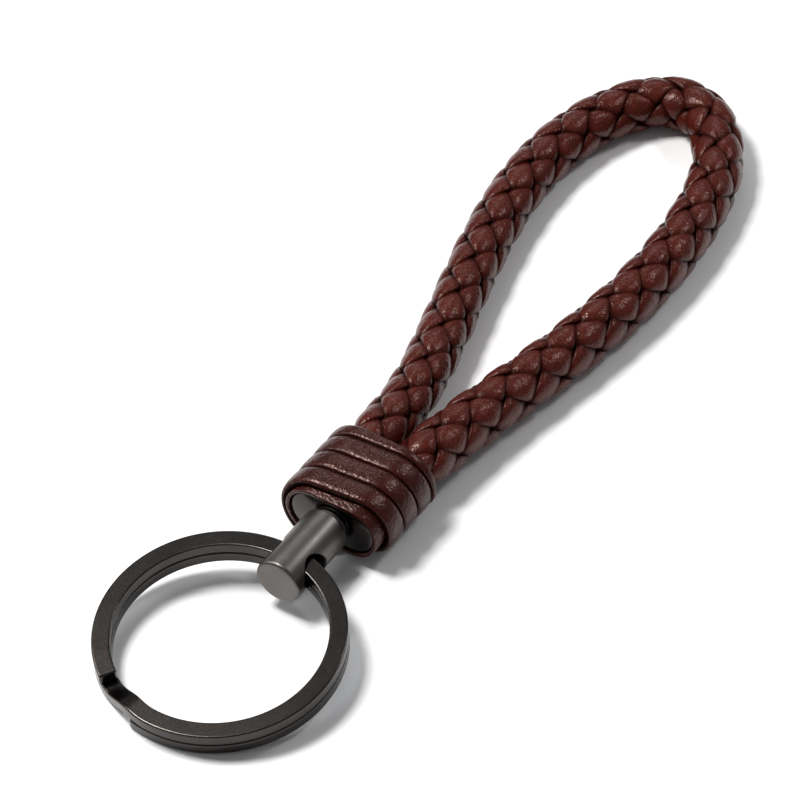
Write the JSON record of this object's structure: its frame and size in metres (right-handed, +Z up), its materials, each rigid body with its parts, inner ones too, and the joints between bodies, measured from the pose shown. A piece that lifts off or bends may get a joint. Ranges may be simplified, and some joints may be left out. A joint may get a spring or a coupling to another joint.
{
  "type": "wristlet keychain",
  "caption": "Wrist-strap keychain: a braided leather loop held in a lace-wound collar, with a turning metal barrel that carries a flat-wire split ring.",
  "frame": {"origin": "on the collar's flat underside, at the middle of the lace's second turn, where the strap lies on a table", "axes": "+X along the strap from the ring to the loop, +Z up off the table, +Y to the strap's left seen from the ring"},
  "size_m": [0.1289, 0.0307, 0.0096],
  "materials": {
    "leather": "dark red-brown, waxed, slightly wrinkled",
    "thread": "waxed thread",
    "gunmetal": "dark gunmetal plating, satin",
    "steel": "plain plated steel"
  },
  "bodies": {
    "strap": {"braided_loop": "leather", "collar_wrap": "leather", "collar_liner": "leather", "cord_binding_left": "thread", "cord_binding_right": "thread", "end_cup": "gunmetal", "rivet_burr": "steel", "swivel_rivet": "steel", "swivel_washer": "steel"},
    "barrel": {"swivel_barrel": "gunmetal"},
    "ring": {"split_ring": "gunmetal"}
  },
  "joints": [
    {"name": "barrel_swivel", "type": "hinge", "parent": "strap", "child": "barrel", "pos_m": [-0.00475, 0, 0.0048], "axis": [1, 0, 0], "continuous": true},
    {"name": "ring_swing", "type": "hinge", "parent": "barrel", "child": "ring", "pos_m": [-0.01165, 0, 0.0048], "axis": [0, 1, 0], "range_deg": [-140, 150]}
  ]
}
